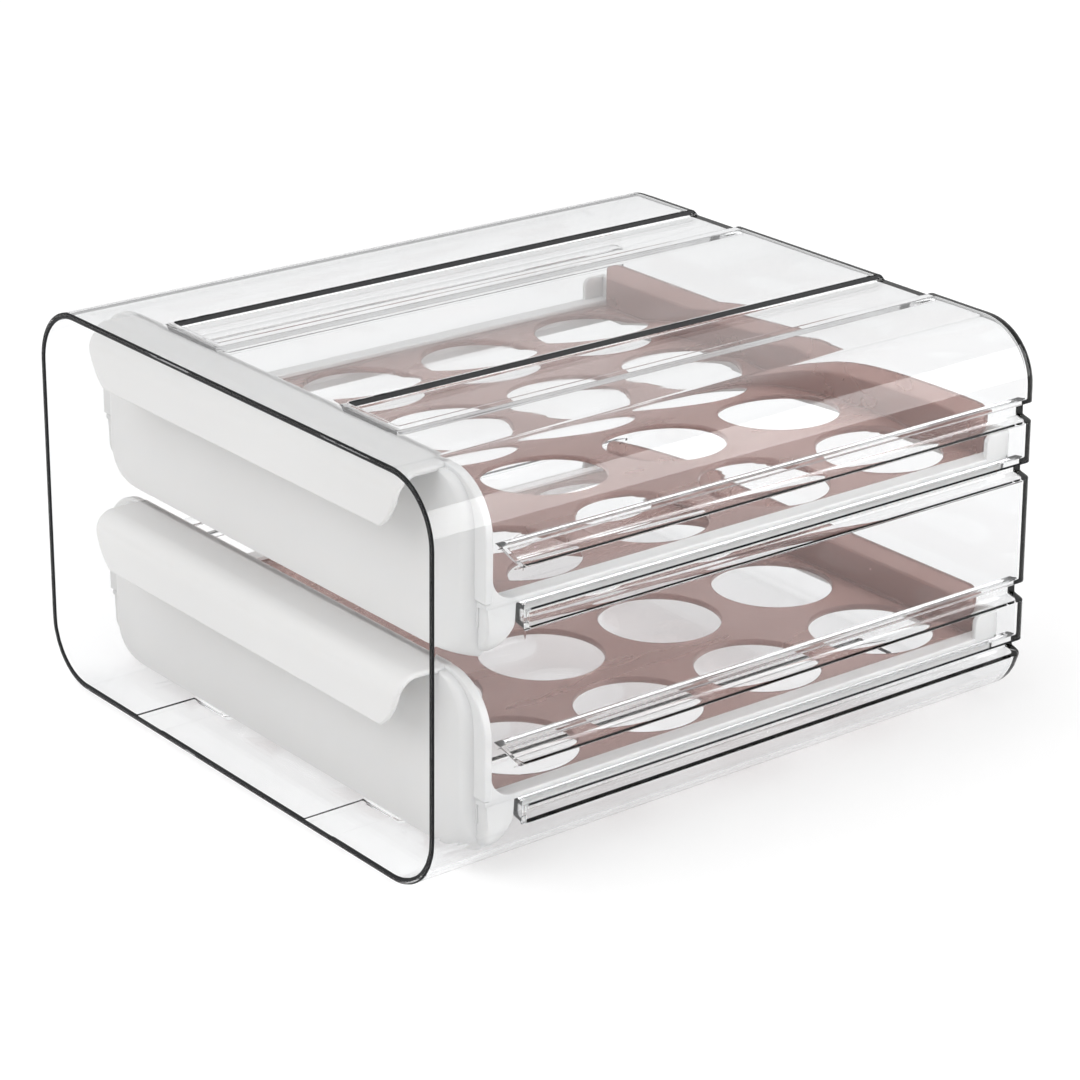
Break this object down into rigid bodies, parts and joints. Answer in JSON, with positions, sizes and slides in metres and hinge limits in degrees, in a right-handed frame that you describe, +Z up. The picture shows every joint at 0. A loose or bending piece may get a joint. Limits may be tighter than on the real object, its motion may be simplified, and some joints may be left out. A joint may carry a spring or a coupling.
{
  "type": "egg storage box",
  "caption": "Stackable clear egg storage box, open at the front, with sliding white drawers, each carrying a tinted tray of round egg holes.",
  "frame": {"origin": "middle of the footprint, on the plane the runners stand on", "axes": "+X to the right seen from the front, -Y the way the drawers pull out, +Z up"},
  "size_m": [0.205, 0.2359, 0.128],
  "materials": {
    "clear_case": "clear, polished",
    "white_drawer": "satin white",
    "tinted_tray": "translucent smoky mauve"
  },
  "bodies": {
    "case": {"case": "clear_case"},
    "upper_drawer": {"upper_drawer": "white_drawer", "upper_egg_tray": "tinted_tray"},
    "lower_drawer": {"lower_drawer": "white_drawer", "lower_egg_tray": "tinted_tray"}
  },
  "joints": [
    {"name": "upper_drawer_slide", "type": "slide", "parent": "case", "child": "upper_drawer", "axis": [0, -1, 0], "range_m": [0, 0.18]},
    {"name": "lower_drawer_slide", "type": "slide", "parent": "case", "child": "lower_drawer", "axis": [0, -1, 0], "range_m": [0, 0.18]}
  ]
}
